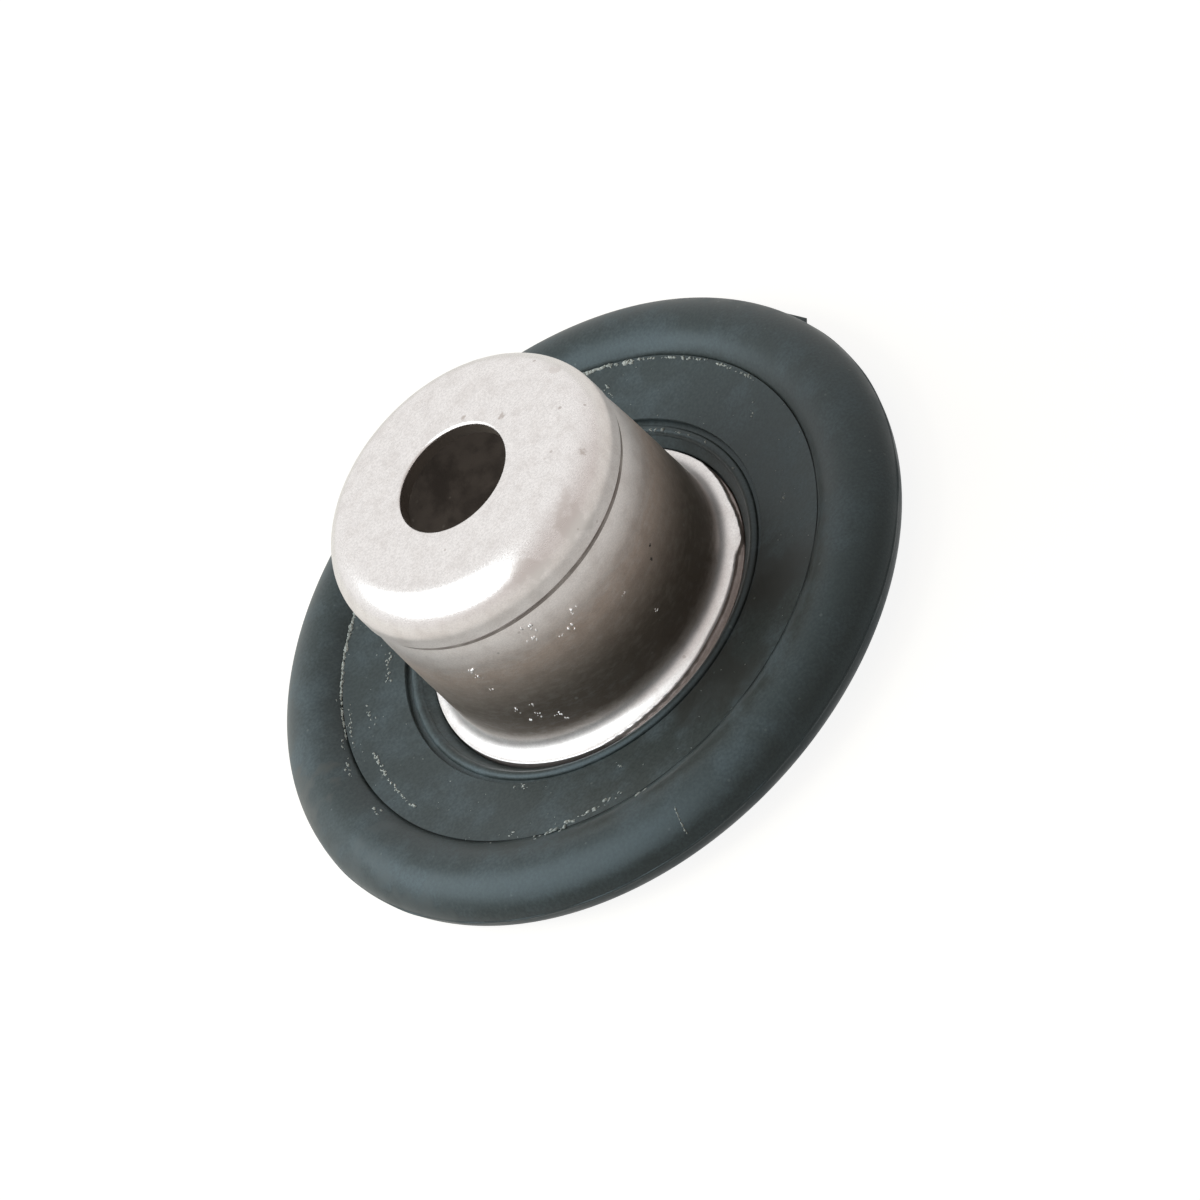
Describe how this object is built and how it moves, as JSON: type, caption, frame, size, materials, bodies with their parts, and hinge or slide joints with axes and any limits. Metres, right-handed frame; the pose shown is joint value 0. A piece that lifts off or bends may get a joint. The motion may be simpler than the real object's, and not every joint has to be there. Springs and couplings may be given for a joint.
{
  "type": "shock absorber mount",
  "caption": "Rubber-to-metal damper mount: a deep-drawn steel cup with a rod hole in its crown, its flange bonded into a round-beaded rubber ring.",
  "frame": {"origin": "centre of the ring's flat underside, on the mount's axis", "axes": "+Z along the mount's axis from the underside towards the crown; X and Y are any two directions across it, since the part is round"},
  "size_m": [0.0714, 0.0714, 0.0259],
  "materials": {
    "cup_steel": "satin drawn steel, bright, with fine pits",
    "ring_rubber": "matte moulded rubber with a faint bloom"
  },
  "bodies": {
    "root": {"steel_cup": "cup_steel", "rubber_ring": "ring_rubber"}
  },
  "joints": []
}
